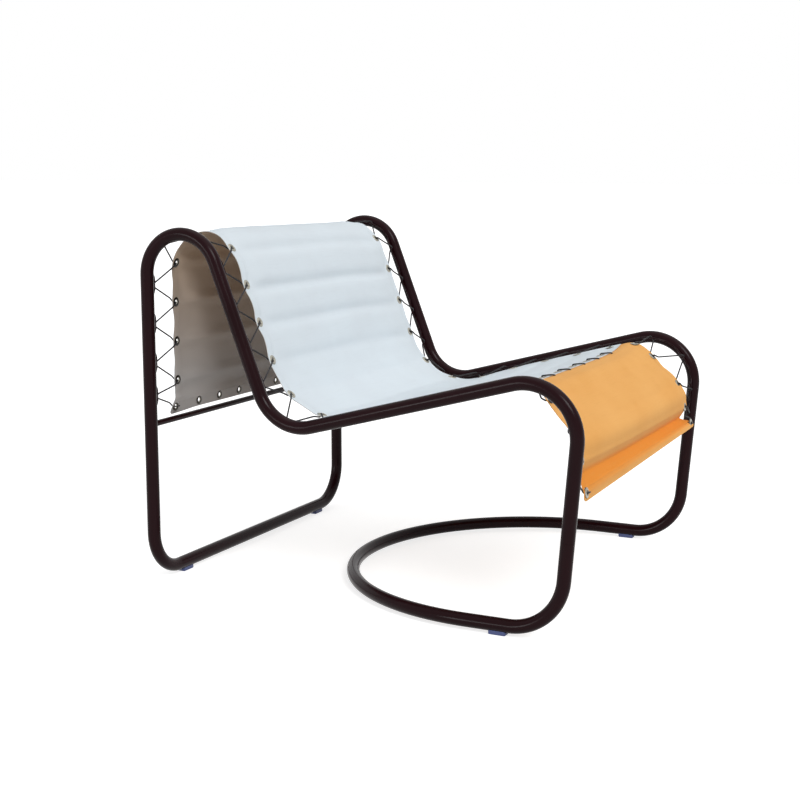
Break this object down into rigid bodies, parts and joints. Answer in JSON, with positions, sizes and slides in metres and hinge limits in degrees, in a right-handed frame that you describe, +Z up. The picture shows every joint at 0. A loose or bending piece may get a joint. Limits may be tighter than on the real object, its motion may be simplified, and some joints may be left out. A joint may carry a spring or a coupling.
{
  "type": "lounge chair",
  "caption": "Low lounge chair on a loop of bent dark steel tube, with a white canvas seat and back laced to it by elastic cord and an orange canvas front apron.",
  "frame": {"origin": "on the floor, under the centre of the bounding box", "axes": "+Z up, +X to the right side of the chair seen from behind, -Y the way the chair faces"},
  "size_m": [0.819, 0.9447, 0.738],
  "materials": {
    "painted_tube": "glossy dark aubergine brown paint",
    "joint_steel": "plain drawn steel, hidden inside the tubes",
    "glide_plastic": "blue grey moulded plastic",
    "white_canvas": "woven canvas",
    "orange_canvas": "woven canvas",
    "elastic_cord": "black braided elastic",
    "eyelet_metal": "nickel plated"
  },
  "bodies": {
    "root": {"side_tube_left": "painted_tube", "side_tube_right": "painted_tube", "rear_floor_hoop": "painted_tube", "front_floor_loop": "painted_tube", "rear_crossbar": "painted_tube", "lacing_rod_left": "painted_tube", "lacing_rod_right": "painted_tube", "rear_joint_sleeve_left": "joint_steel", "rear_joint_sleeve_right": "joint_steel", "front_joint_sleeve_left": "joint_steel", "front_joint_sleeve_right": "joint_steel", "rear_glide_left": "glide_plastic", "rear_glide_right": "glide_plastic", "front_glide_left": "glide_plastic", "front_glide_right": "glide_plastic", "seat_and_back_canvas": "white_canvas", "front_apron_canvas": "orange_canvas", "seat_lacing_left": "elastic_cord", "seat_lacing_right": "elastic_cord", "apron_lacing_left": "elastic_cord", "apron_lacing_right": "elastic_cord", "seam_lacing": "elastic_cord", "eyelet_left_01": "eyelet_metal", "eyelet_left_02": "eyelet_metal", "eyelet_left_03": "eyelet_metal", "eyelet_left_04": "eyelet_metal", "eyelet_left_05": "eyelet_metal", "eyelet_left_06": "eyelet_metal", "eyelet_left_07": "eyelet_metal", "eyelet_left_08": "eyelet_metal", "eyelet_left_09": "eyelet_metal", "eyelet_left_10": "eyelet_metal", "eyelet_left_11": "eyelet_metal", "eyelet_left_12": "eyelet_metal", "eyelet_left_13": "eyelet_metal", "eyelet_left_14": "eyelet_metal", "eyelet_left_15": "eyelet_metal", "eyelet_left_16": "eyelet_metal", "eyelet_left_17": "eyelet_metal", "eyelet_right_01": "eyelet_metal", "eyelet_right_02": "eyelet_metal", "eyelet_right_03": "eyelet_metal", "eyelet_right_04": "eyelet_metal", "eyelet_right_05": "eyelet_metal", "eyelet_right_06": "eyelet_metal", "eyelet_right_07": "eyelet_metal", "eyelet_right_08": "eyelet_metal", "eyelet_right_09": "eyelet_metal", "eyelet_right_10": "eyelet_metal", "eyelet_right_11": "eyelet_metal", "eyelet_right_12": "eyelet_metal", "eyelet_right_13": "eyelet_metal", "eyelet_right_14": "eyelet_metal", "eyelet_right_15": "eyelet_metal", "eyelet_right_16": "eyelet_metal", "eyelet_right_17": "eyelet_metal"}
  },
  "joints": []
}
